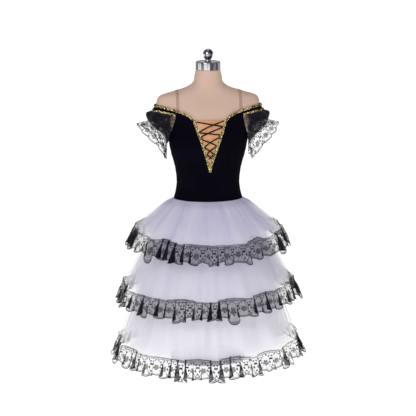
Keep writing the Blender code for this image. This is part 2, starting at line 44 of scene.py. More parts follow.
# Shader maths: a socket that takes part in Python expressions
class Wire:
    def __init__(self, tree, socket):
        self.tree = tree
        self.socket = socket

    def maths(self, operation, first, second=None):
        node = self.tree.nodes.new("ShaderNodeMath")
        node.operation = operation
        plug(self.tree, node.inputs[0], first)
        if second is not None:
            plug(self.tree, node.inputs[1], second)
        return Wire(self.tree, node.outputs[0])

    def __add__(self, other):
        return self.maths("ADD", self, other)

    __radd__ = __add__

    def __mul__(self, other):
        return self.maths("MULTIPLY", self, other)

    __rmul__ = __mul__

    def __sub__(self, other):
        return self.maths("SUBTRACT", self, other)

    def __rsub__(self, other):
        return self.maths("SUBTRACT", other, self)

    def __truediv__(self, other):
        return self.maths("DIVIDE", self, other)

    def __pow__(self, other):
        return self.maths("POWER", self, other)

    def __lt__(self, other):
        return self.maths("LESS_THAN", self, other)

    def __gt__(self, other):
        return self.maths("GREATER_THAN", self, other)

    def sine(self):
        return self.maths("SINE", self)

    def size(self):
        return self.maths("ABSOLUTE", self)

    def larger(self, other):
        return self.maths("MAXIMUM", self, other)

    def smaller(self, other):
        return self.maths("MINIMUM", self, other)

    def held(self):
        return self.larger(0.0).smaller(1.0)


def plug(tree, socket, value):
    if isinstance(value, Wire):
        tree.links.new(value.socket, socket)
    else:
        socket.default_value = value


class Finish:
    # A material with one Principled shader; fixed numbers are set on the shader's own sockets
    def __init__(self, name, **fixed):
        self.material = bpy.data.materials.new(name)
        self.material.use_nodes = True
        self.tree = self.material.node_tree
        self.shader = self.tree.nodes["Principled BSDF"]
        for key, value in fixed.items():
            self.shader.inputs[key.replace("_", " ")].default_value = value

    def node(self, kind, settings=None, values=None, output=0):
        made = self.tree.nodes.new(kind)
        for key, value in (settings or {}).items():
            if key == "stops":
                ramp = made.color_ramp
                while len(ramp.elements) < len(value):
                    ramp.elements.new(0.5)
                for element, (place, colour) in zip(ramp.elements, value):
                    element.position = place
                    element.color = colour
            else:
                setattr(made, key, value)
        for key, value in (values or {}).items():
            plug(self.tree, made.inputs[key], value)
        return Wire(self.tree, made.outputs[output])

    def place(self, kind="Object"):
        return self.node("ShaderNodeTexCoord", output=kind)

    def parts(self, vector):
        made = self.tree.nodes.new("ShaderNodeSeparateXYZ")
        plug(self.tree, made.inputs[0], vector)
        return [Wire(self.tree, out) for out in made.outputs]

    def scaled(self, vector, scale):
        return self.node("ShaderNodeMapping", values={"Vector": vector, "Scale": scale})

    def noise(self, vector, scale, detail=3.0, roughness=0.5):
        return self.node("ShaderNodeTexNoise", values={"Vector": vector, "Scale": scale, "Detail": detail,
                                                       "Roughness": roughness})

    def blend(self, share, first, second):
        return self.node("ShaderNodeMix", {"data_type": "RGBA"}, {0: share, 6: first, 7: second}, output=2)

    def bump(self, height, distance, strength=1.0):
        values = {"Height": height, "Distance": distance, "Strength": strength}
        plug(self.tree, self.shader.inputs["Normal"], self.node("ShaderNodeBump", values=values))

    def feed(self, **links):
        for key, value in links.items():
            plug(self.tree, self.shader.inputs[key.replace("_", " ")], value)


def rgb(red, green, blue):
    # From display values 0-255 to linear colour
    def linear(c):
        c = c / 255
        return c / 12.92 if c <= 0.04045 else ((c + 0.055) / 1.055) ** 2.4
    return (linear(red), linear(green), linear(blue), 1.0)


# Shapes of the form and the garment, as in the solids
formSections = np.array([
    # height, half width, depth to the front, depth to the back
    (0.500, 0.1600, 0.1040, 0.1120), (0.540, 0.1620, 0.1060, 0.1160), (0.580, 0.1570, 0.1040, 0.1120),
    (0.620, 0.1460, 0.0980, 0.1020), (0.660, 0.1335, 0.0920, 0.0900), (0.690, 0.1260, 0.0880, 0.0840),
    (0.720, 0.1220, 0.0855, 0.0805), (0.745, 0.1225, 0.0870, 0.0800), (0.790, 0.1290, 0.0950, 0.0830),
    (0.850, 0.1450, 0.1130, 0.0910), (0.893, 0.1530, 0.1220, 0.0970), (0.930, 0.1575, 0.1190, 0.1010),
    (0.970, 0.1700, 0.1080, 0.1020), (1.010, 0.1870, 0.0940, 0.0990), (1.040, 0.2040, 0.0810, 0.0930),
    (1.058, 0.2015, 0.0720, 0.0860), (1.074, 0.1870, 0.0640, 0.0770), (1.089, 0.1370, 0.0580, 0.0670),
    (1.105, 0.0880, 0.0540, 0.0590), (1.122, 0.0625, 0.0510, 0.0540), (1.150, 0.0545, 0.0490, 0.0500),
    (1.176, 0.0480, 0.0480, 0.0480),
])
veeEdge = np.array([(0.788, 0.0), (0.816, 0.0062), (0.844, 0.0142), (0.890, 0.0285), (0.930, 0.0425),
                    (0.987, 0.0620)])
neckline = np.array([(0.062, 0.987), (0.075, 1.002), (0.094, 1.013), (0.118, 1.022), (0.131, 1.0265)])
armhole = np.array([(0.895, 90.0), (0.905, 82.0), (0.920, 75.5), (0.950, 61.0), (0.980, 51.0),
                    (1.000, 46.2), (1.030, 42.0)])
cut = {
    "seamZ": 0.660, "underarmZ": 0.895, "veePointZ": 0.788, "veeTopZ": 0.987, "neckTopZ": 1.176,
    "backScoopZ": 0.930, "clearance": 0.0025, "velvetWall": 0.0013, "seamGap": 0.0004,
}


def smooth(knots, values, at):
    # A curve through all the knots; each slope comes from the neighbours on both sides
    knots = np.asarray(knots, float)
    values = np.asarray(values, float)
    slopes = np.gradient(values, knots, axis=0)
    at = np.clip(np.asarray(at, float), knots[0], knots[-1])
    i = np.clip(np.searchsorted(knots, at, side="right") - 1, 0, len(knots) - 2)
    span = knots[i + 1] - knots[i]
    t = (at - knots[i]) / span
    if values.ndim > 1:
        t = t[..., None]
        span = span[..., None]
    return (values[i] * (1 + 2 * t) * (1 - t) ** 2 + values[i + 1] * t * t * (3 - 2 * t)
            + slopes[i] * span * t * (1 - t) ** 2 - slopes[i + 1] * span * t * t * (1 - t))


def ringThrough(stations, turn):
    # A closed curve through the stations; turn runs from 0 to 1 round it
    count = len(stations)
    knots = np.arange(3 * count) / count - 1.0
    return smooth(knots, np.vstack([stations] * 3), np.asarray(turn) % 1.0)


def unit(vectors):
    return vectors / np.maximum(np.linalg.norm(vectors, axis=-1, keepdims=True), 1e-12)


def lengthsAlong(path):
    # Running length at each point of a path: the sum of the steps before it
    return np.concatenate([[0], np.cumsum(np.linalg.norm(np.diff(path, axis=0), axis=1))])


def bareForm(angle, z):
    # An ellipse at each height: x = width sin(angle), y = -depth cos(angle)
    section = smooth(formSections[:, 0], formSections[:, 1:], z)
    turn = np.radians(angle)
    depth = np.where(np.cos(turn) > 0, section[..., 1], section[..., 2])
    return np.stack([section[..., 0] * np.sin(turn), -depth * np.cos(turn), z], axis=-1)


def onForm(angle, z, out=0.0):
    # The form's surface moved out along its normal; the normal is the cross product of two small steps
    angle, z, out = np.broadcast_arrays(*(np.asarray(value, float) for value in (angle, z, out)))
    across = bareForm(angle + 0.5, z) - bareForm(angle - 0.5, z)
    up = bareForm(angle, z + 0.002) - bareForm(angle, z - 0.002)
    return bareForm(angle, z) + unit(np.cross(across, up)) * out[..., None]


def formWidth(z):
    return smooth(formSections[:, 0], formSections[:, 1], z)


def angleAt(x, z):
    return np.degrees(np.arcsin(np.clip(np.asarray(x) / formWidth(z), -1, 1)))


def armholeAngle(z):
    return np.where(np.asarray(z) <= cut["underarmZ"], 90.0, smooth(armhole[:, 0], armhole[:, 1], z))


def veeHalf(z):
    half = np.maximum(smooth(veeEdge[:, 0], veeEdge[:, 1], z), 0.0)
    return np.where(np.asarray(z) <= cut["veePointZ"], 0.0, half)


def backNeck(share):
    corner = neckline[-1, 1]
    return corner - (corner - cut["backScoopZ"]) * np.cos(np.asarray(share) * math.pi / 2) ** 1.3


def normalsOf(grid, wrap=False):
    # Cross product of the steps along the columns and up the rows
    across = np.roll(grid, -1, 1) - np.roll(grid, 1, 1) if wrap else np.gradient(grid, axis=1)
    return unit(np.cross(across, np.gradient(grid, axis=0)))


def mirrorX(grid):
    # The same grid on the other side, with its columns turned round so that it still faces outwards
    return (grid * np.array([-1.0, 1.0, 1.0]))[:, ::-1]


def areaOf(grid, wrap=False):
    # Sum of the sides' cross products over the grid's cells
    if wrap:
        grid = np.concatenate([grid, grid[:, :1]], axis=1)
    a, b = grid[1:, 1:] - grid[:-1, :-1], grid[1:, :-1] - grid[:-1, 1:]
    return float(np.linalg.norm(np.cross(a, b), axis=-1).sum() / 2)


def meshOf(name, points, quads, finish, uv=None, smoothShade=True):
    mesh = bpy.data.meshes.new(name)
    mesh.from_pydata(points.reshape(-1, 3).tolist(), [], quads.tolist())
    if smoothShade:
        mesh.shade_smooth()
    if uv is not None:
        layer = mesh.uv_layers.new(name="UVMap")
        layer.data.foreach_set("uv", uv.reshape(-1).astype(np.float32))
    mesh.materials.append(finish.material)
    made = bpy.data.objects.new(name, mesh)
    bpy.context.scene.collection.objects.link(made)
    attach(made, "root")
    return made


def gridQuads(rows, columns, wrap=False):
    r = np.arange(rows - 1)[:, None]
    c = np.arange(columns if wrap else columns - 1)[None, :]
    d = (c + 1) % columns
    low, high = r * columns, (r + 1) * columns
    return np.stack([low + c, low + d, high + d, high + c], axis=-1).reshape(-1, 4)


def sheetOf(name, grid, finish, wrap=False, uv=None):
    # A grid of points as one surface; uv holds one more column than a wrapped grid
    rows, columns = grid.shape[:2]
    loops = None
    if uv is not None:
        last = columns if wrap else columns - 1
        corners = [uv[:-1, :last], uv[:-1, 1:last + 1], uv[1:, 1:last + 1], uv[1:, :last]]
        loops = np.stack(corners, axis=2)
    return meshOf(name, grid, gridQuads(rows, columns, wrap), finish, loops)


def thicken(piece, thickness, offset=-1.0):
    wall = piece.modifiers.new("wall", "SOLIDIFY")
    wall.thickness = thickness
    wall.offset = offset
    return piece


def turnedPiece(name, profile, finish, sides=96):
    # A profile of (radius, height) turned round Z, closed at both poles
    profile = np.array(profile, float)
    turn = np.arange(sides) * 2 * math.pi / sides
    rings = np.stack([profile[:, 0:1] * np.cos(turn), profile[:, 0:1] * np.sin(turn),
                      np.repeat(profile[:, 1:2], sides, axis=1)], axis=-1)
    return sheetOf(name, rings, finish, wrap=True)


def tubeOf(path, radius, sides):
    # Circles carried along a path, square to it: path + radius (cos side + sin up)
    path = np.asarray(path, float)
    along = unit(np.gradient(path, axis=0))
    side = unit(np.cross(along, np.array([0.0, -1.0, 0.15])))
    up = np.cross(side, along)
    turn = np.arange(sides) * 2 * math.pi / sides
    return path[:, None] + radius * (np.cos(turn)[None, :, None] * side[:, None]
                                     + np.sin(turn)[None, :, None] * up[:, None])


def joined(name, grids, finish, wrap=False):
    # Several grids as one mesh
    points, quads, start = [], [], 0
    for grid in grids:
        points.append(grid.reshape(-1, 3))
        quads.append(gridQuads(grid.shape[0], grid.shape[1], wrap) + start)
        start += grid.shape[0] * grid.shape[1]
    return meshOf(name, np.vstack(points), np.vstack(quads), finish)


# Finishes
def skinJersey():
    finish = Finish("skinJersey", Roughness=0.7, Sheen_Weight=0.1, Sheen_Roughness=0.4,
                    Specular_IOR_Level=0.3)
    place = finish.place()
    cloud = finish.noise(place, 7.0, 3.0)
    weave = finish.noise(finish.scaled(place, (1400, 1400, 2200)), 1.0, 1.0)
    finish.feed(Base_Color=finish.blend(cloud, rgb(198, 166, 150), rgb(206, 177, 162)))
    finish.bump(weave, 0.0002, 0.35)
    return finish


def chromeFinish():
    finish = Finish("polishedChrome", Metallic=1.0)
    place = finish.place()
    # Dark and bright streaks in the base colour: painted reflection of the room on the polished metal
    reflectionStreaks = finish.noise(finish.scaled(place, (75, 75, 5)), 1.0, 2.0)
    haze = finish.noise(place, 60.0, 4.0)
    brushed = finish.noise(finish.scaled(place, (40, 40, 3000)), 1.0, 2.0)
    finish.feed(Base_Color=finish.blend(((reflectionStreaks - 0.46) * 7.0).held(), rgb(78, 72, 84), rgb(222, 220, 226)),
                Roughness=haze * 0.10 + 0.06)
    finish.bump(brushed, 0.00004, 0.2)
    return finish


def enamelFinish():
    finish = Finish("whiteEnamel", Coat_Weight=0.3)
    grain = finish.noise(finish.place(), 220.0, 2.0)
    finish.feed(Base_Color=finish.blend(grain, rgb(232, 232, 234), rgb(241, 241, 243)),
                Roughness=grain * 0.1 + 0.3)
    finish.bump(grain, 0.0001, 0.25)
    return finish


def velvetFinish():
    # Blue-black pile that lightens where it lies over
    finish = Finish("blackVelvet", Roughness=0.95, Sheen_Weight=0.10, Sheen_Roughness=0.3,
                    Specular_IOR_Level=0.06)
    finish.shader.inputs["Sheen Tint"].default_value = rgb(60, 60, 120)
    place = finish.place()
    patches = finish.noise(place, 16.0, 3.0)
    pile = finish.noise(finish.scaled(place, (1800, 1800, 900)), 1.0, 2.0)
    finish.feed(Base_Color=finish.blend(patches, rgb(1, 0, 7), rgb(7, 6, 19)))
    finish.bump(pile + patches * 2.0, 0.0003, 0.4)
    return finish


def satinFinish():
    finish = Finish("copperSatin", Sheen_Weight=0.15, Anisotropic=0.4)
    place = finish.place()
    shimmer = finish.noise(finish.scaled(place, (60, 60, 9)), 1.0, 2.0)
    thread = finish.noise(finish.scaled(place, (2600, 2600, 300)), 1.0, 1.0)
    finish.feed(Base_Color=finish.blend(shimmer, rgb(204, 142, 96), rgb(226, 168, 122)),
                Roughness=shimmer * 0.2 + 0.32)
    finish.bump(thread, 0.0002, 0.3)
    return finish


def sequinFinish():
    finish = Finish("goldSequins", Metallic=1.0)
    tone = finish.noise(finish.place(), 310.0, 1.0)
    finish.feed(Base_Color=finish.blend(((tone - 0.42) * 5.0).held(), rgb(104, 76, 16), rgb(255, 238, 170)),
                Roughness=tone * 0.25 + 0.08)
    return finish


def braidFinish():
    finish = Finish("goldBraid", Metallic=0.3)
    tone = finish.noise(finish.place(), 500.0, 2.0)
    finish.feed(Base_Color=finish.blend(tone, rgb(44, 30, 10), rgb(104, 76, 26)),
                Roughness=tone * 0.2 + 0.5)
    finish.bump(tone, 0.0003, 0.5)
    return finish


def cordFinish():
    finish = Finish("blackCord", Roughness=0.7, Specular_IOR_Level=0.15)
    twist = finish.node("ShaderNodeTexWave", {"wave_type": "BANDS", "bands_direction": "DIAGONAL"},
                        {"Vector": finish.place(), "Scale": 420.0, "Distortion": 0.6}, output=1)
    finish.feed(Base_Color=finish.blend(twist, rgb(2, 2, 6), rgb(12, 11, 18)))
    finish.bump(twist, 0.0004, 0.6)
    return finish


def elasticFinish():
    finish = Finish("clearElastic", Roughness=0.35, Alpha=0.18)
    ribs = finish.node("ShaderNodeTexWave", {"wave_type": "BANDS", "bands_direction": "X"},
                       {"Vector": finish.place(), "Scale": 260.0}, output=1)
    finish.feed(Base_Color=finish.blend(ribs, rgb(158, 118, 112), rgb(184, 146, 138)))
    finish.bump(ribs, 0.0002, 0.4)
    return finish


def tulleFinish(name, low, high, density, zLow, zHigh):
    # Fine net as soft see-through cloth, a little denser in broad folds that run down from the waist. Its
    # colour runs from low at the bottom to high at the waist; the under layers' lavender, deepest at the
    # waist, is painted shade.
    finish = Finish(name, Roughness=0.9, Sheen_Weight=0.1, Specular_IOR_Level=0.05)
    z = finish.parts(finish.place())[2]
    rise = ((z - zLow) / (zHigh - zLow)).held()
    u, v = finish.parts(finish.place("UV"))[:2]
    turn = u * 2 * math.pi
    ringSize = 3.2
    ring = finish.node("ShaderNodeCombineXYZ", values={"X": turn.sine() * ringSize,
                                                       "Y": (turn + math.pi / 2).sine() * ringSize,
                                                       "Z": v * 0.9})
    streak = finish.noise(ring, 1.0, 3.0, 0.5)
    # Painted shade: the colour goes from low at the bottom to high at the waist, where the under layers are
    # more lavender
    base = finish.blend(rise, low, high)
    # Where the folds run dense the colour whitens towards (250, 249, 255): painted highlight on the folds
    finish.feed(Base_Color=finish.blend(((streak - 0.45) * 1.6).held(), base, rgb(250, 249, 255)),
                Alpha=(density * (0.55 + streak * 0.9)).held())
    return finish


def laceGroundFinish(name, netAlpha, bunchAlpha, clearFrom=-1.0):
    # Hexagon net from three sets of threads; the UV map is in metres along and across the lace.
    # The point attribute "bunch" is 1 where the cloth is folded back on itself.
    # Nearer to the body's middle than clearFrom the lace has stretched open; below 0 it does so nowhere.
    finish = Finish(name, Roughness=0.8, Sheen_Weight=0.05, Specular_IOR_Level=0.1)
    u, v = finish.parts(finish.place("UV"))[:2]
    meshPitch = 0.0021
    turn = 2 * math.pi / meshPitch
    holes = (u * turn).sine() + ((u * 0.5 + v * 0.866) * turn).sine() + ((u * 0.5 - v * 0.866) * turn).sine()
    net = (holes < -0.2).larger(0.35)
    cloud = finish.noise(finish.scaled(finish.place("UV"), (60, 45, 1)), 1.0, 2.0)
    bunch = finish.node("ShaderNodeAttribute", {"attribute_name": "bunch"}, output=2)
    clearing = 0.012
    closed = ((finish.parts(finish.place())[0].size() - clearFrom) / clearing).held()
    finish.feed(Base_Color=finish.blend(cloud, rgb(5, 3, 12), rgb(22, 18, 33)),
                Alpha=((net * netAlpha * (cloud * 1.2 + 0.4) + bunch * bunchAlpha) * closed).held())
    return finish


def laceThreadFinish():
    finish = Finish("laceThread", Roughness=0.75, Sheen_Weight=0.05, Specular_IOR_Level=0.15)
    tone = finish.noise(finish.place(), 900.0, 2.0)
    finish.feed(Base_Color=finish.blend(tone, rgb(3, 2, 9), rgb(16, 13, 26)))
    finish.bump(tone, 0.0003, 0.5)
    return finish


skin = skinJersey()
chrome = chromeFinish()
enamel = enamelFinish()
velvet = velvetFinish()
satin = satinFinish()
sequin = sequinFinish()
braid = braidFinish()
cordBlack = cordFinish()
elastic = elasticFinish()
laceThread = laceThreadFinish()
laceGrounds = {
    "upper": laceGroundFinish("laceGroundUpper", 0.66, 0.75),
    "middle": laceGroundFinish("laceGroundMiddle", 0.58, 0.75),
    "hem": laceGroundFinish("laceGroundHem", 0.20, 0.6),
    "ruffle": laceGroundFinish("laceGroundRuffle", 0.16, 0.5),
    "puff": laceGroundFinish("puffGround", 2.6, 0.5, clearFrom=0.146),
}
print("finishes made")


# The form
def makeForm():
    z = np.concatenate([np.linspace(0.5, 1.03, 60), np.linspace(1.035, 1.176, 50)])
    angle = np.arange(120) * 3.0
    rings = onForm(angle[None, :], z[:, None])
    low = np.zeros((1, 120, 3)) + [0, 0, z[0]]
    high = np.zeros((1, 120, 3)) + [0, 0, z[-1]]
    bottom = low + (rings[:1] - low) * np.array([0.0, 0.5, 0.96])[:, None, None]
    top = high + (rings[-1:] - high) * np.array([0.97, 0.5, 0.0])[:, None, None]
    torso = sheetOf("formTorso", np.concatenate([bottom, rings, top]), skin, wrap=True)
    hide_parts("form_torso")

    size = {"capFoot": 1.1763, "capRadius": 0.0495, "capHeight": 0.030, "rim": 0.0022, "stemRadius": 0.013,
            "stemHeight": 0.012, "ballRadius": 0.0215}
    foot, radius, rim = size["capFoot"], size["capRadius"], size["rim"]
    top = foot + size["capHeight"]
    corner = np.radians(np.linspace(0, 90, 7))
    profile = [(0, foot), (radius - rim, foot)]
    profile += [(radius - rim + rim * math.sin(a), foot + rim - rim * math.cos(a)) for a in corner]
    profile += [(radius - rim + rim * math.cos(a), top - rim + rim * math.sin(a)) for a in corner]
    profile += [(radius * 0.86, top), (radius * 0.85, top - 0.0012), (radius * 0.4, top - 0.0014),
                (0, top - 0.0014)]
    cap = turnedPiece("neckCap", profile, chrome)
    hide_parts("neck_cap")

    stemFoot = top + 0.0003
    stemTop = stemFoot + size["stemHeight"]
    ball = size["ballRadius"]
    middle = stemTop + ball * 0.78
    collar, neck = size["stemRadius"] * 1.12, size["stemRadius"] * 0.92
    profile = [(0, stemFoot), (collar, stemFoot), (collar, stemFoot + 0.002), (neck, stemFoot + 0.004),
               (neck, stemTop - 0.003)]
    profile += [(ball * math.cos(a), middle + ball * math.sin(a))
                for a in np.radians(np.linspace(-50, 89.5, 36))]
    profile.append((0, middle + ball))
    finial = turnedPiece("finialBall", profile, chrome)
    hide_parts("finial")

    profile = [(0, 0), (0.149, 0), (0.15, 0.001), (0.15, 0.006)]
    edge = 0.004
    profile += [(0.146 + edge * math.cos(a), edge + edge * math.sin(a))
                for a in np.radians(np.linspace(30, 90, 6))]
    profile += [(0.028, 0.008), (0.026, 0.010), (0.021, 0.034), (0.020, 0.038), (0, 0.038)]
    plate = turnedPiece("footPlate", profile, enamel, 128)
    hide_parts("foot_plate")
    low, high, radius = 0.0383, 0.4997, 0.0125
    pole = turnedPiece("formPole", [(0, low), (radius, low), (radius, 0.25), (radius, high), (0, high)],
                       chrome, 48)
    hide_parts("pole")


makeForm()
print("form made")


# Bodice, insert and lacing
bodiceOut = cut["clearance"] + cut["velvetWall"]
trims = {"width": 0.009, "pitch": 0.0040, "rows": 3, "disc": 0.0020, "lift": 0.0020,
         "low": bodiceOut + 0.0005}


def frontGrid(rows=90, columns=56):
    v = np.linspace(0, 1, rows)[:, None]
    u = np.linspace(0, 1, columns)[None, :]
    topX = neckline[0, 0] + (neckline[-1, 0] - neckline[0, 0]) * u
    topZ = smooth(neckline[:, 0], neckline[:, 1], topX)
    z = cut["seamZ"] + (topZ - cut["seamZ"]) * v
    near = angleAt(veeHalf(z) + cut["seamGap"] / 4, z)
    far = armholeAngle(z)
    angle = near + (far - near) * u
    return onForm(angle, z, bodiceOut + bodiceCrease(angle, z))


def bodiceCrease(angle, z):
    # Faint gathers just above the waist seam, and the strain towards the underarm
    turn = np.radians(angle)
    low = np.exp(-((z - cut["seamZ"]) / 0.022) ** 2)
    gathers = 0.0006 * np.sin(turn * 31 + 1.7 * np.sin(turn * 5)) * low
    besides = np.exp(-((np.abs(np.sin(turn)) - 0.97) / 0.06) ** 2)
    strain = 0.0005 * np.sin(z * 190 + 2.6 * np.sin(turn * 2)) * besides
    return gathers + strain * np.exp(-((z - 0.83) / 0.08) ** 2)


def backGrid(rows=90, columns=112):
    v = np.linspace(0, 1, rows)[:, None]
    share = np.linspace(-1, 1, columns)[None, :]
    z = cut["seamZ"] + (backNeck(share) - cut["seamZ"]) * v
    angle = 180.0 + armholeAngle(z) * share
    return onForm(angle, z, bodiceOut + bodiceCrease(angle, z))


def makeBodice():
    grid = frontGrid()
    for name, node, points in (("bodiceFrontRight", "bodice_front_R", grid),
                               ("bodiceFrontLeft", "bodice_front_L", mirrorX(grid)),
                               ("bodiceBack", "bodice_back", backGrid())):
        piece = thicken(sheetOf(name, points, velvet), 0.0012)
        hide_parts(node)
        width = 0.20 if "Front" in name else 0.34
        length = 0.38
        min(areaOf(points), width * length)

    z = np.linspace(cut["veePointZ"] + 0.006, cut["veeTopZ"] + 0.001, 60)[:, None]
    angle = angleAt(veeHalf(z) - cut["seamGap"], z) * np.linspace(-1, 1, 40)[None, :]
    points = onForm(angle, z, bodiceOut)
    insert = thicken(sheetOf("veeInsert", points, satin), 0.0011)
    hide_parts("vee_insert")
    max(areaOf(points), 0.0083)


lacing = {
    "radius": 0.0025, "lift": 0.0053,
    # height at the left side, height at the right side, way across
    "runsA": ((0.981, 0.963, 1), (0.926, 0.959, -1), (0.914, 0.892, 1), (0.860, 0.886, -1),
              (0.853, 0.839, 1)),
    "runsB": ((0.945, 0.984, -1), (0.941, 0.932, 1), (0.889, 0.922, -1), (0.882, 0.860, 1),
              (0.839, 0.853, -1)),
}


def makeLacing(name, node, runs, over):
    shares = np.linspace(-1, 1, 5)
    spots = []
    for left, right, way in runs:
        across = shares * way
        z = left + (right - left) * (across + 1) / 2
        reach = np.maximum(veeHalf(z) - trims["width"] / 2 - lacing["radius"] - 0.001, 0.001)
        raised = lacing["lift"] * over * np.cos(across * math.pi / 2) ** 0.7
        spots.append(onForm(angleAt(across * reach, z), z, bodiceOut + 0.0005 + lacing["radius"] + raised))
    spots = np.vstack(spots)
    along = np.arange(len(spots), dtype=float)
    path = smooth(along, spots, np.linspace(0, along[-1], 12 * len(spots)))
    piece = joined(name, [tubeOf(path, lacing["radius"], 10)], cordBlack, wrap=True)
    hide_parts(node)


makeBodice()
makeLacing("lacingA", "lacing_A", lacing["runsA"], 0)
makeLacing("lacingB", "lacing_B", lacing["runsB"], 1)
print("bodice made")


# Sequin trims: a braid base with rows of small cupped discs on it
def facingIn(edgeLow, edgeHigh):
    # True where the cross product of along and across points towards the body's middle line
    out = np.cross(np.gradient(edgeLow, axis=0), edgeHigh - edgeLow)
    return (out * edgeLow * np.array([1.0, 1.0, 0.0])).sum() < 0


def sequinsOn(edgeLow, edgeHigh, seed):
    # edgeLow and edgeHigh are the two edges of a strip, point by point; discs lie in rows between them
    rng = np.random.default_rng(seed)
    middle = (edgeLow + edgeHigh) / 2
    if facingIn(edgeLow, edgeHigh):
        edgeLow, edgeHigh = edgeHigh, edgeLow
    length = lengthsAlong(middle)
    count = max(int(length[-1] / trims["pitch"]), 2)
    across = unit(edgeHigh - edgeLow)
    out = unit(np.cross(unit(np.gradient(middle, axis=0)), across))
    discs = []
    ring = np.arange(7) * 2 * math.pi / 7
    for row in range(trims["rows"]):
        place = (np.arange(count) + 0.5 + 0.5 * (row % 2)) / (count + 0.5) * length[-1]
        share = (row + 0.5) / trims["rows"] + rng.uniform(-0.05, 0.05, count)
        low, high, outHere, acrossHere = (
            np.stack([np.interp(place, length, field[:, k]) for k in range(3)], axis=-1)
            for field in (edgeLow, edgeHigh, out, across))
        spot = low + (high - low) * share[:, None]
        tilt = unit(outHere + rng.normal(0, 0.34, (count, 3)))
        one = unit(np.cross(tilt, acrossHere))
        two = np.cross(tilt, one)
        rim = trims["disc"] * (np.cos(ring)[None, :, None] * one[:, None]
                               + np.sin(ring)[None, :, None] * two[:, None])
        lift = trims["lift"] + rng.uniform(0, 0.0007, count)
        centre = spot + outHere * (lift - 0.0004)[:, None]
        raised = spot[:, None] + outHere[:, None] * lift[:, None, None]
        discs.append(np.concatenate([centre[:, None], raised + rim], axis=1))
    return np.concatenate(discs)


def discMesh(discs):
    # Each disc is a fan of triangles round its sunk centre
    sides = discs.shape[1] - 1
    k = np.arange(sides)
    fan = np.stack([np.zeros(sides, int), 1 + k, 1 + (k + 1) % sides], axis=-1)
    start = (np.arange(len(discs)) * (sides + 1))[:, None, None]
    return discs.reshape(-1, 3), (fan[None] + start).reshape(-1, 3)


def makeTrim(name, node, edgeLow, edgeHigh, seed):
    if facingIn(edgeLow, edgeHigh):
        edgeLow, edgeHigh = edgeHigh, edgeLow
    rails = np.stack([edgeLow, edgeHigh])
    out = normalsOf(rails)
    edge = rails + out * 0.0002
    crown = rails.mean(axis=0, keepdims=True) + out[:1] * 0.0016
    base = thicken(sheetOf(name + "Braid", np.concatenate([edge[:1], crown, edge[1:]]), braid), 0.0006)
    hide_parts(node)
    points, fans = discMesh(sequinsOn(edgeLow, edgeHigh, seed))
    discs = meshOf(name + "Sequins", points, fans, sequin, smoothShade=False)


def makeBodiceTrims():
    half = trims["width"] / 2
    z = np.linspace(cut["veePointZ"] - 0.007, cut["veeTopZ"] - 0.0005, 70)
    inner = np.maximum(veeHalf(z) - half, 0.0002)
    low = onForm(angleAt(inner, z), z, trims["low"])
    high = onForm(angleAt(veeHalf(z) + half, z), z, trims["low"])
    mirror = np.array([-1.0, 1.0, 1.0])
    makeTrim("veeTrimRight", "vee_trim_R", high[::-1], low[::-1], 1)
    makeTrim("veeTrimLeft", "vee_trim_L", (low * mirror)[::-1], (high * mirror)[::-1], 2)
    x = np.linspace(0.0669, neckline[-1, 0] - 0.0004, 30)
    top = smooth(neckline[:, 0], neckline[:, 1], x)
    low = onForm(angleAt(x, top - trims["width"]), top - trims["width"], trims["low"])
    high = onForm(angleAt(x, top), top, trims["low"])
    makeTrim("neckTrimRight", "neck_trim_R", low, high, 3)
    makeTrim("neckTrimLeft", "neck_trim_L", (low * mirror)[::-1], (high * mirror)[::-1], 4)
    share = np.linspace(-1, 1, 80)
    top = backNeck(share)
    angle = 180.0 + (armholeAngle(top) - 0.4) * share
    makeTrim("neckTrimBack", "neck_trim_back", onForm(angle, top - trims["width"], trims["low"]),
             onForm(angle, top, trims["low"]), 5)


makeBodiceTrims()
print("trims made")


# Straps
strap = {"x": 0.124, "width": 0.012, "clearance": 0.0010, "tuck": 0.006}


def overShoulder(x, angle):
    # Bisection along rays from inside the shoulder, all rays at once
    start = np.array([0.0, 0.005, 1.0])
    way = np.stack([np.zeros_like(angle), -np.cos(angle), np.sin(angle)], axis=-1)
    near, far = np.zeros_like(angle), np.full_like(angle, 0.2)
    for _ in range(40):
        middle = (near + far) / 2
        spot = start + way * middle[:, None]
        section = smooth(formSections[:, 0], formSections[:, 1:], spot[:, 2])
        depth = np.where(spot[:, 1] < 0, section[:, 1], section[:, 2])
        inside = ((x / section[:, 0]) ** 2 + (spot[:, 1] / depth) ** 2 < 1) & (spot[:, 2] < cut["neckTopZ"])
        near, far = np.where(inside, middle, near), np.where(inside, far, middle)
    return start + way * near[:, None] + np.array([x, 0.0, 0.0])


def makeStraps():
    angle = np.radians(np.linspace(-10, 190, 401))
    middle = overShoulder(strap["x"], angle)
    frontEnd = smooth(neckline[:, 0], neckline[:, 1], strap["x"]) - strap["tuck"]
    backEnd = backNeck(0.86) - strap["tuck"]
    kept = angle[np.where(angle < math.pi / 2, middle[:, 2] > frontEnd, middle[:, 2] > backEnd)]
    stations = np.linspace(kept[0], kept[-1], 60)
    edges = strap["x"] + strap["width"] * np.array([0.5, 0.17, -0.17, -0.5])
    grid = np.stack([overShoulder(x, stations) for x in edges], axis=1)
    out = normalsOf(grid)
    out = out * np.sign(out[30, 1, 2])
    grid = grid + out * (strap["clearance"] + 0.0008)
    for name, node, points in (("strapRight", "strap_R", grid), ("strapLeft", "strap_L", mirrorX(grid))):
        piece = thicken(sheetOf(name, points, elastic), 0.0007, 0.0)
        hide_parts(node)


makeStraps()
print("straps made")


# Lace: the ground is a net sheet; the motifs are ribbons laid on the same surface.
# Flat lace coordinates: s runs along the lace, t across it from its heading, both in metres.
lace = {"repeat": 0.056, "picot": 0.014, "scallop": 0.0085, "picotDepth": 0.0045, "outline": 0.0030,
        "thread": 0.0016, "raise": 0.0005}


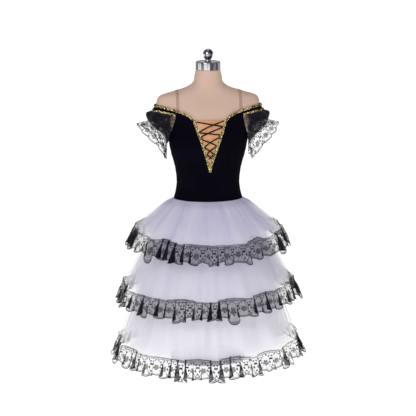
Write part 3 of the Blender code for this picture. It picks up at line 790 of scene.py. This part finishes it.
def lowerEdge(s, width):
    # Scallops: an arc over each repeat
    wave = np.abs(np.sin(math.pi * s / lace["repeat"]))
    return width - lace["scallop"] * (1 - wave ** 0.7)


def upperEdge(s):
    return lace["picotDepth"] * (1 - np.abs(np.sin(math.pi * s / lace["picot"])) ** 0.8)


def petalOutline(centreS, centreT, turn, length, width, points=7):
    # A closed leaf: width times sin(pi k) across, length times k along
    k = np.linspace(0, 1, points)
    side = width / 2 * np.sin(math.pi * k ** 0.8)
    along = np.concatenate([k, k[-2::-1]]) * length
    across = np.concatenate([side, -side[-2::-1]])
    return np.stack([centreS + along * math.cos(turn) - across * math.sin(turn),
                     centreT + along * math.sin(turn) + across * math.cos(turn)], axis=-1)


def curveLine(spots, points=12):
    spots = np.array(spots, float)
    knots = np.arange(len(spots), dtype=float)
    return smooth(knots, spots, np.linspace(0, knots[-1], points))


def motifLines(width):
    # One repeat of the lace: a five-petalled flower, leaves on curved stems, buds and small sprigs.
    # Each entry is (points, ribbon width).
    p = lace["repeat"]
    thread = lace["thread"]
    lines = []
    centre = np.array([0.5 * p, 0.56 * width])
    for k in range(5):
        turn = math.radians(k * 72 + 20)
        way = np.array([math.cos(turn), math.sin(turn)])
        lines.append((petalOutline(*(centre + 0.0022 * way), turn, 0.0112, 0.0098), thread))
        lines.append((centre + np.outer((0.0045, 0.0075, 0.0105), way), 0.0034))
    ring = np.linspace(0, 2 * math.pi, 8)
    lines.append((centre + 0.0026 * np.stack([np.cos(ring), np.sin(ring)], axis=-1), 0.0016))
    for side in (-1, 1):
        stem = curveLine([(centre[0] + side * 0.012, centre[1]), (centre[0] + side * 0.020, 0.44 * width),
                          (centre[0] + side * 0.019, 0.28 * width), (centre[0] + side * 0.008, 0.21 * width)])
        lines.append((stem, thread))
        for k, degrees, long in ((2, 60, 0.0095), (5, 10, 0.0085), (8, -20, 0.0075), (11, -95, 0.0070)):
            turn = math.radians(degrees if side > 0 else 180 - degrees)
            way = np.array([math.cos(turn), math.sin(turn)])
            lines.append((petalOutline(*stem[k], turn, long, 0.0046), thread))
            lines.append((stem[k] + np.outer((0.002, 0.004, long - 0.001), way), 0.0024))
        low = curveLine([(centre[0] + side * 0.013, centre[1] + 0.007),
                         (centre[0] + side * 0.020, 0.78 * width),
                         (centre[0] + side * 0.026, 0.72 * width)], 8)
        lines.append((low, thread))
        lines.append((petalOutline(*low[4], math.radians(75 if side > 0 else 105), 0.0065, 0.0042), 0.0016))
        lines.append((petalOutline(*low[-1], math.radians(-60 if side > 0 else 240), 0.0060, 0.0040), 0.0016))
    bud = np.array([0.0, 0.42 * width])
    for degrees in (-90, -35, 215):
        turn = math.radians(degrees)
        lines.append((bud + np.outer((0.001, 0.004, 0.0075), (math.cos(turn), math.sin(turn))), 0.0030))
    return lines


def ribbonRails(line, width):
    # Three rails: the line itself and one on each side of it, square to it in the flat
    along = unit(np.gradient(line, axis=0))
    side = np.stack([-along[:, 1], along[:, 0]], axis=-1) * width / 2
    return np.stack([line - side, line, line + side])


def laceRibbons(surface, length, width):
    # Every line of the lace carried onto the surface; the middle rail stands a little proud
    repeats = int(round(length / lace["repeat"]))
    stretch = length / (repeats * lace["repeat"])
    starts = np.arange(repeats) * lace["repeat"]
    grids = []
    for line, thick in motifLines(width):
        flat = ribbonRails(line, thick)[None] + np.stack([starts, 0 * starts], axis=-1)[:, None, None, :]
        grids.append(onSurface(surface, flat[..., 0] * stretch, flat[..., 1]))
    fine = np.linspace(0, repeats * lace["repeat"], repeats * 22 + 1)
    edges = [(lowerEdge(fine, width) - gap - thick / 2, thick)
             for gap, thick in ((0.0, lace["outline"]), (0.0052, lace["thread"]))]
    edges += [(upperEdge(fine) + 0.0011, 0.0026), (0.0085 + 0 * fine, 0.0014)]
    for line, thick in edges:
        rails = ribbonRails(np.stack([fine, line], axis=-1), thick) * [stretch, 1]
        grids.append(onSurface(surface, *np.moveaxis(rails, -1, 0))[None])
    return grids


def onSurface(surface, s, t):
    # Moved out along the cross product of two small steps, the middle rail more than the outer two
    step = 0.0006
    onward = surface(s + step, t) - surface(s - step, t)
    up = surface(s, t - step) - surface(s, t + step)
    raised = np.array([0.4, 1.0, 0.4]) * lace["raise"]
    return surface(s, t) + unit(np.cross(onward, up)) * raised[:, None, None]


def ribbonMesh(name, grids, finish):
    points, quads, start = [], [], 0
    for batch in grids:
        count, rails, length = batch.shape[:3]
        one = gridQuads(rails, length)
        quads.append((one[None] + (start + np.arange(count) * rails * length)[:, None, None]).reshape(-1, 4))
        points.append(batch.reshape(-1, 3))
        start += count * rails * length
    return meshOf(name, np.vstack(points), np.vstack(quads), finish)


# Skirt
tiers = {
    # height, half width, depth to the front, depth to the back
    "upper": np.array([(0.642, 0.172, 0.138, 0.140), (0.606, 0.214, 0.190, 0.193),
                       (0.566, 0.257, 0.244, 0.247), (0.5275, 0.296, 0.293, 0.294)]),
    "middle": np.array([(0.540, 0.217, 0.198, 0.202), (0.3055, 0.337, 0.335, 0.336)]),
    "hem": np.array([(0.500, 0.213, 0.195, 0.199), (0.0795, 0.358, 0.357, 0.358)]),
}
tierOrder = ("hem", "middle", "upper")
hangs = {
    # how far each tier's edge hangs above its level: at the front, at both sides, more on +X than on -X
    "upper": (-0.012, 0.005, 0.000), "middle": (0.003, 0.010, 0.013), "hem": (-0.004, 0.004, 0.011),
}
skirt = {"folds": 14, "foldDepth": 0.008, "seed": 11}
flounces = {
    "upper": {"waves": 28, "heading": 0.541, "gather": 0.528, "lower": 0.466, "flare": 0.013},
    "middle": {"waves": 30, "heading": 0.318, "gather": 0.306, "lower": 0.243, "flare": 0.013},
    "hem": {"waves": 32, "heading": 0.092, "gather": 0.080, "lower": 0.016, "flare": 0.012},
}


def hangOf(kind, angle):
    front, sides, tilt = hangs[kind]
    turn = np.radians(angle)
    return front * np.maximum(np.cos(turn), 0.0) ** 2 + sides * np.sin(turn) ** 2 + tilt * np.sin(turn)


def tierPoint(kind, angle, z, shrink=0.0):
    # The tier's section at this height, swelled by its soft folds; shrink draws it in for an under layer
    place = tierOrder.index(kind)
    sections = tiers[kind][::-1]
    seam = cut["seamZ"]
    waistOut = 0.0017 + place * 0.0015
    turn = np.radians(angle)
    waistRow = formSections[formSections[:, 0] == seam][0, 1:] + waistOut
    table = np.vstack([sections, [seam, *waistRow]])
    wide, front, back = (np.interp(z, table[:, 0], table[:, k]) for k in (1, 2, 3))
    reach = np.where(np.cos(turn) > 0, front, back)
    strength = np.clip((seam - z) / (seam - sections[0, 0]), 0, None)
    fold = skirt["folds"] * turn + 1.3 * np.sin(2 * turn + place)
    depth = skirt["foldDepth"] * (0.8 + 0.35 * np.sin(3 * turn + 2 * place))
    swell = depth * strength ** 0.8 * np.cos(fold)
    fine = 0.0012 * np.sin(turn * 61 + 2.3 * np.sin(turn * 7) + place) * np.exp(-strength * 2.2)
    fine = (fine + 0.0018 * np.sin(turn * 37 + 1.9 * np.sin(turn * 5 + place))) * np.minimum(strength * 4, 1)
    scale = 1 - shrink * np.minimum(strength * 2.5, 1)
    drop = hangOf(kind, angle) * strength ** 1.5
    return np.stack([(wide * scale + swell + fine) * np.sin(turn),
                     -(reach * scale + swell + fine) * np.cos(turn), z + drop], axis=-1)


def waveTable(waves, seed):
    rng = np.random.default_rng(seed)
    lengths = 1 + 0.42 * (rng.random(waves) - 0.5)
    starts = np.concatenate([[0], np.cumsum(lengths)]) / lengths.sum() * 360
    depth = 0.75 + 0.5 * rng.random(waves)
    lean = rng.uniform(0.2, 1.35, waves)
    drop = rng.uniform(-1, 1, waves)
    return starts, depth, lean, drop


def perWave(values, phase):
    # A value for each wave, blended softly from one crest to the next round the ring
    count = len(values)
    k = np.floor(phase).astype(int)
    t = phase - k
    t = t * t * (3 - 2 * t)
    return values[k % count] * (1 - t) + values[(k + 1) % count] * t


def flounceSurface(kind, seed):
    # Waves round the hem: out = flare + swing (1 + cos) / 2, and the flanks lean over by sin(2 phase)
    size = flounces[kind]
    waves = size["waves"]
    starts, depth, lean, drop = waveTable(waves, seed)
    width = size["heading"] - size["lower"] + 0.004

    def byPhase(phase, t):
        phase, t = np.broadcast_arrays(np.asarray(phase, float), np.asarray(t, float))
        share = t / width
        z = size["heading"] - (size["heading"] - size["lower"]) * share
        gatherShare = (size["heading"] - size["gather"]) / (size["heading"] - size["lower"])
        below = np.clip((share - gatherShare) / (1 - gatherShare), 0, None)
        above = np.clip((gatherShare - share) / gatherShare, 0, 1)
        lap = np.floor(phase / waves)
        angle = np.interp(phase - lap * waves, np.arange(waves + 1), starts) + lap * 360
        deep = perWave(depth, phase)
        leaning = perWave(lean, phase)
        crest = 0.5 + 0.5 * np.cos(2 * math.pi * phase)
        swing = 0.0024 + 0.0205 * below ** 0.8 + 0.0050 * above
        shift = np.sin(4 * math.pi * phase) * leaning * (0.0078 + 0.0080 * below ** 0.9 + 0.002 * above)
        shift = shift + 0.006 * perWave(drop, phase) * below
        base = tierPoint(kind, angle, np.maximum(z, size["gather"]))
        radius = np.hypot(base[..., 0], base[..., 1])
        out = 0.0018 + size["flare"] * below + swing * deep * crest
        bearing = np.arctan2(base[..., 0], -base[..., 1]) + shift / radius
        tab = np.clip(perWave(drop, phase) * 2 - 0.7, 0, 1) * crest ** 3
        sag = below ** 2 * (0.005 * crest + 0.004 * perWave(drop, phase) + 0.016 * tab) - 0.004 * below
        rise = 0.010 * above * np.clip(perWave(drop[::-1], phase), -0.5, 1)
        height = base[..., 2] + np.minimum(z - size["gather"], 0.0) - sag + rise
        return np.stack([(radius + out) * np.sin(bearing), -(radius + out) * np.cos(bearing),
                         np.maximum(height, 0.004 + 0.003 * crest)], axis=-1)

    fine = np.linspace(0, waves, waves * 60 + 1)
    length = lengthsAlong(byPhase(fine, 0.62 * width))

    def byLength(s, t):
        total = length[-1]
        lap = np.floor(s / total)
        return byPhase(np.interp(s - lap * total, length, fine) + lap * waves, t)

    return byLength, float(length[-1]), width


def bunchOf(points, perRepeat):
    # 1 where the cloth runs back against its own mean direction, softened over a few columns
    ring = points[:, :-1]
    reach = range(-perRepeat, perRepeat + 1, 4)
    mean = sum(np.roll(ring, k, axis=1) for k in reach) / len(reach)
    onward = np.roll(mean, -4, axis=1) - np.roll(mean, 4, axis=1)
    local = np.roll(ring, -1, axis=1) - np.roll(ring, 1, axis=1)
    back = ((unit(local) * unit(onward)).sum(axis=-1) < -0.1).astype(float)
    soft = (np.roll(back, 1, axis=1) + 2 * back + np.roll(back, -1, axis=1)) / 4
    return np.concatenate([soft, soft[:, :1]], axis=1)


def groundSheet(name, surface, length, width, finish, columnsPerRepeat=24, rows=12):
    repeats = int(round(length / lace["repeat"]))
    stretch = length / (repeats * lace["repeat"])
    flat = np.linspace(0, repeats * lace["repeat"], repeats * columnsPerRepeat + 1)
    v = np.linspace(1, 0, rows)[:, None]
    top, low = upperEdge(flat)[None, :], lowerEdge(flat, width)[None, :]
    t = top + (low - top) * v
    s = np.broadcast_to(flat[None, :] * stretch, t.shape)
    points = surface(s, t)
    uv = np.stack([s, t], axis=-1)
    piece = sheetOf(name, points[:, :-1], finish, wrap=True, uv=uv)
    bunch = piece.data.attributes.new("bunch", "FLOAT", "POINT")
    bunch.data.foreach_set("value", bunchOf(points, columnsPerRepeat)[:, :-1].reshape(-1).astype(np.float32))
    return piece


tulleLook = {
    # colour of the outer layer and of the innermost one, whose lavender is painted shade, and how far each
    # under layer is drawn in
    "upper": (rgb(247, 245, 255), rgb(206, 198, 240), (0.045, 0.10, 0.17, 0.26)),
    "middle": (rgb(249, 248, 255), rgb(224, 219, 250), (0.045, 0.10, 0.17, 0.26)),
    "hem": (rgb(251, 250, 255), rgb(244, 241, 255), (0.045, 0.10, 0.17, 0.26)),
}


def makeTier(kind):
    outerColour, innerShadeColour, shrinks = tulleLook[kind]
    bottom = tiers[kind][-1, 0]
    for layer, shrink in enumerate((0.0,) + shrinks):
        rows, columns = (48, 480) if layer == 0 else (26, 300)
        angle = np.linspace(0, 360, columns + 1)
        z = np.linspace(bottom, cut["seamZ"] - 0.0004, rows)[:, None]
        uv = np.stack(np.broadcast_arrays(angle[None, :] / 360, (z - bottom) / 0.6), axis=-1)
        share = layer / len(shrinks)
        # Painted shade: each under layer is more lavender than the one outside it, and most so at the waist
        low = tuple(a + (b - a) * share * 0.8 for a, b in zip(outerColour, innerShadeColour))
        high = tuple(a + (b - a) * share ** 0.5 for a, b in zip(outerColour, innerShadeColour))
        name = "tulle" + kind.title() + ("" if layer == 0 else "Under" + str(layer))
        finish = tulleFinish(name, low, high, 0.22 + 0.30 * share ** 0.6, bottom, cut["seamZ"])
        points = tierPoint(kind, angle[None, :-1], np.broadcast_to(z, (rows, columns)), shrink)
        points[..., 2] += 0.004 * layer * (cut["seamZ"] - z) / (cut["seamZ"] - bottom)
        piece = sheetOf(name, points, finish, wrap=True, uv=uv)
        if layer == 0:
            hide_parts("tier_" + kind)
        area = areaOf(points, wrap=True)


def makeFlounce(kind, seed):
    surface, length, width = flounceSurface(kind, seed)
    ground = groundSheet("lace" + kind.title(), surface, length, width, laceGrounds[kind])
    motif = ribbonMesh("laceMotif" + kind.title(), laceRibbons(surface, length, width), laceThread)
    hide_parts("lace_" + kind)
    print("tier", kind, "made, lace", round(length, 2), "m by", round(width, 3), "m")


def makeSkirt():
    for number, kind in enumerate(flounces):
        makeTier(kind)
        makeFlounce(kind, skirt["seed"] + number)


makeSkirt()


# Sleeves
sleeve = {
    "top": np.array([(0.2218, 0.006, 1.008), (0.1932, -0.0502, 1.0095), (0.1390, -0.0725, 0.9995),
                     (0.1500, -0.0680, 0.950), (0.1670, 0.000, 0.911), (0.1500, 0.0690, 0.950),
                     (0.1390, 0.0755, 0.9995), (0.1932, 0.0582, 1.0095)]),
    "seam": np.array([(0.2360, 0.004, 0.972), (0.2180, -0.064, 0.958), (0.1890, -0.090, 0.938),
                      (0.1660, -0.066, 0.904), (0.1680, 0.000, 0.885), (0.1660, 0.068, 0.904),
                      (0.1890, 0.092, 0.938), (0.2180, 0.066, 0.958)]),
    "tip": np.array([(0.2730, 0.004, 0.946), (0.2500, -0.084, 0.925), (0.2130, -0.120, 0.893),
                     (0.1790, -0.092, 0.846), (0.1790, 0.000, 0.831), (0.1790, 0.094, 0.846),
                     (0.2130, 0.122, 0.893), (0.2500, 0.086, 0.925)]),
    "waves": 12, "seed": 31, "bulge": 0.014, "width": 0.062,
}
bandEdges = np.array([(0.1820, -0.0385, 1.036, 0.1930, -0.0500, 1.0105),
                      (0.2085, 0.0040, 1.037, 0.2215, 0.0060, 1.0090),
                      (0.1820, 0.0440, 1.036, 0.1930, 0.0580, 1.0105)])


def bandEnd(flip):
    # The band's upper and lower corner beside the armhole's edge; flip is for the back end
    ends = [(armholeAngle(z) + 0.1, z) for z in (1.0265, 1.0010)]
    return np.concatenate([onForm(180 - a if flip else a, z, bodiceOut) for a, z in ends])


def sleeveSurfaces():
    starts, depth, lean, drop = waveTable(sleeve["waves"], sleeve["seed"])
    waves = sleeve["waves"]

    def turnOf(phase):
        lap = np.floor(phase / waves)
        return np.interp(phase - lap * waves, np.arange(waves + 1), starts) / 360 + lap

    def puff(phase, share):
        phase, share = np.broadcast_arrays(np.asarray(phase, float), np.asarray(share, float))
        turn = turnOf(phase)
        top, seam = ringThrough(sleeve["top"], turn), ringThrough(sleeve["seam"], turn)
        base = top + (seam - top) * share[..., None]
        centre = sleeve["top"].mean(0) + (sleeve["seam"].mean(0) - sleeve["top"].mean(0)) * share[..., None]
        out = unit(base - centre)
        near = np.clip((base[..., 0] - 0.145) / 0.05, 0.15, 1.0)
        bulge = sleeve["bulge"] * np.sin(math.pi * np.clip(share, 0, 1)) ** 0.8 * near
        crest = 0.5 + 0.5 * np.cos(2 * math.pi * phase)
        fine = 0.5 + 0.5 * np.cos(2 * math.pi * phase * 3 + 2 * np.sin(phase))
        gather = 0.0022 * (1 + 1.2 * np.sin(math.pi * np.clip(share, 0, 1)))
        return base + out * (bulge + gather * perWave(depth, phase) * crest + 0.0012 * fine)[..., None]

    def ruffle(phase, share):
        phase, share = np.broadcast_arrays(np.asarray(phase, float), np.asarray(share, float))
        shift = 0.055 * np.sin(4 * math.pi * phase) * perWave(lean, phase) * np.clip(share, 0, None)
        turn = turnOf(phase + shift * 1.4)
        seam, tip = ringThrough(sleeve["seam"], turn), ringThrough(sleeve["tip"], turn)
        base = seam + (tip - seam) * share[..., None]
        centre = sleeve["seam"].mean(0) + (sleeve["tip"].mean(0) - sleeve["seam"].mean(0)) * share[..., None]
        out = unit(base - centre)
        crest = 0.5 + 0.5 * np.cos(2 * math.pi * phase)
        swing = 0.0165 * np.clip(share, 0, None) ** 0.9
        return base + out * (swing * perWave(depth, phase) * crest + 0.0014)[..., None]

    return puff, ruffle


def makeSleeve(tag, side):
    mirror = np.array([-1.0 if side < 0 else 1.0, 1.0, 1.0])
    waves = sleeve["waves"]
    puff, ruffle = sleeveSurfaces()

    def faced(grid):
        return mirrorX(grid) if side < 0 else grid

    def bySurface(bend, width):
        # Lengths along the lace turned into phases; the +X side runs the other way, to face outwards
        fine = np.linspace(0, waves, waves * 60 + 1)
        length = lengthsAlong(bend(fine, 0.6))
        total = float(length[-1])

        def surface(s, t):
            s = s if side < 0 else total - s
            lap = np.floor(s / total)
            return bend(np.interp(s - lap * total, length, fine) + lap * waves, t / width) * mirror

        return surface, total

    width = sleeve["width"]
    puffSurface, puffLength = bySurface(puff, width)
    s = np.linspace(0, puffLength, 361)[None, :]
    t = np.linspace(1, 0, 22)[:, None] * width
    points = puffSurface(*np.broadcast_arrays(s[:, :-1], t))
    uv = np.stack(np.broadcast_arrays(s, t), axis=-1)
    piece = sheetOf("puff" + tag, points, laceGrounds["puff"], wrap=True, uv=uv)
    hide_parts("sleeve_puff_" + tag[0])
    overlay = ribbonMesh("puffMotif" + tag, laceRibbons(puffSurface, puffLength, width), laceThread)
    area = areaOf(points, wrap=True)
    round(puffLength * 1.15, 2)
    round(area / puffLength, 3)

    surface, length = bySurface(ruffle, width)
    ground = groundSheet("ruffle" + tag, surface, length, width, laceGrounds["ruffle"])
    motif = ribbonMesh("ruffleMotif" + tag, laceRibbons(surface, length, width), laceThread)
    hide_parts("sleeve_ruffle_" + tag[0])

    stations = np.vstack([bandEnd(False), bandEdges, bandEnd(True)])
    edges = smooth(np.arange(5), stations, np.linspace(0, 4, 90))
    top, low = edges[:, :3], edges[:, 3:]
    v = np.linspace(0, 1, 6)[:, None, None]
    grid = low + (top - low) * v
    band = thicken(sheetOf("sleeveBand" + tag, faced(grid), velvet), 0.0009)
    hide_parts("sleeve_band_" + tag[0])
    out = normalsOf(np.stack([low, top]))
    for name, node, fromShare, toShare, seed in (("bandTrimTop", "sleeve_trim_top_", 0.68, 1.0, 21),
                                                 ("bandTrimLow", "sleeve_trim_low_", 0.02, 0.28, 22)):
        a = low + (top - low) * fromShare + out[0] * 0.0009
        b = low + (top - low) * toShare + out[1] * 0.0009
        if side < 0:
            a, b = (a * mirror)[::-1], (b * mirror)[::-1]
        makeTrim(name + tag, node + tag[0], a, b, seed)


makeSleeve("Right", 1)
makeSleeve("Left", -1)
print("sleeves made")


# Stage, light and camera
stage = {
    "distance": 7.9, "azimuth": -4.5, "height": 2.30, "aim": (0.0, 0.0, 0.616), "frameWidth": 1.664,
    "sensor": 36, "floor": 40.0, "floorGlow": 0.90, "room": 0.46, "flags": 0.12, "window": 1.4,
    # each lamp's name, place, side and watts
    "lamps": (("key", (-2.4, -3.6, 3.0), 2.2, 66), ("fill", (2.8, -3.4, 2.2), 2.2, 24)),
    "lampAim": (0, 0, 0.8),
}


def makeStage():
    white = Finish("studioWhite", Roughness=0.9, Specular_IOR_Level=0.0,
                   Emission_Strength=stage["floorGlow"])
    white.shader.inputs["Base Color"].default_value = (0.42, 0.42, 0.42, 1)
    white.shader.inputs["Emission Color"].default_value = (1, 1, 1, 1)
    reach = stage["floor"]
    corners = np.array([[-reach, -reach, 0], [reach, -reach, 0], [reach, reach, 0], [-reach, reach, 0]])
    floor = meshOf("studioFloor", corners, np.array([[0, 1, 2, 3]]), white)

    # The room: pale, with dark flags to the left and right and a strip window beside each
    world = bpy.data.worlds.new("studioWorld")
    world.use_nodes = True
    tree = world.node_tree
    coordinates = tree.nodes.new("ShaderNodeTexCoord")
    split = tree.nodes.new("ShaderNodeSeparateXYZ")
    tree.links.new(coordinates.outputs["Generated"], split.inputs[0])
    across, ahead = Wire(tree, split.outputs[0]), Wire(tree, split.outputs[1])
    flags = (across.size() > 0.42) * (ahead < 0.75)
    window = ((across + 0.62).size() < 0.07) + ((across - 0.56).size() < 0.05)
    light = (1.0 - flags) * stage["room"] + stage["flags"] + window * (ahead < 0.0) * stage["window"]
    plug(tree, tree.nodes["Background"].inputs["Color"], (1, 1, 1, 1))
    plug(tree, tree.nodes["Background"].inputs["Strength"], light)
    bpy.context.scene.world = world
    for name, place, size, power in stage["lamps"]:
        light = bpy.data.lights.new(name, "AREA")
        light.size = size
        light.energy = power
        lamp = bpy.data.objects.new(name, light)
        lamp.location = place
        aim = Vector(stage["lampAim"]) - Vector(place)
        lamp.rotation_euler = aim.to_track_quat("-Z", "Y").to_euler()
        bpy.context.scene.collection.objects.link(lamp)


def makeCamera():
    turn = math.radians(stage["azimuth"])
    place = Vector((stage["distance"] * math.sin(turn), -stage["distance"] * math.cos(turn), stage["height"]))
    aim = Vector(stage["aim"]) - place
    data = bpy.data.cameras.new("camera")
    data.sensor_width = stage["sensor"]
    data.lens = stage["sensor"] * aim.length / stage["frameWidth"]
    data.clip_end = 200
    made = bpy.data.objects.new("camera", data)
    made.location = place
    made.rotation_euler = aim.to_track_quat("-Z", "Y").to_euler()
    bpy.context.scene.collection.objects.link(made)
    bpy.context.scene.camera = made
    bpy.context.scene.cycles.transparent_max_bounces = 48
    bpy.context.scene.view_settings.view_transform = "Standard"


makeStage()
makeCamera()
print("stage and camera made")
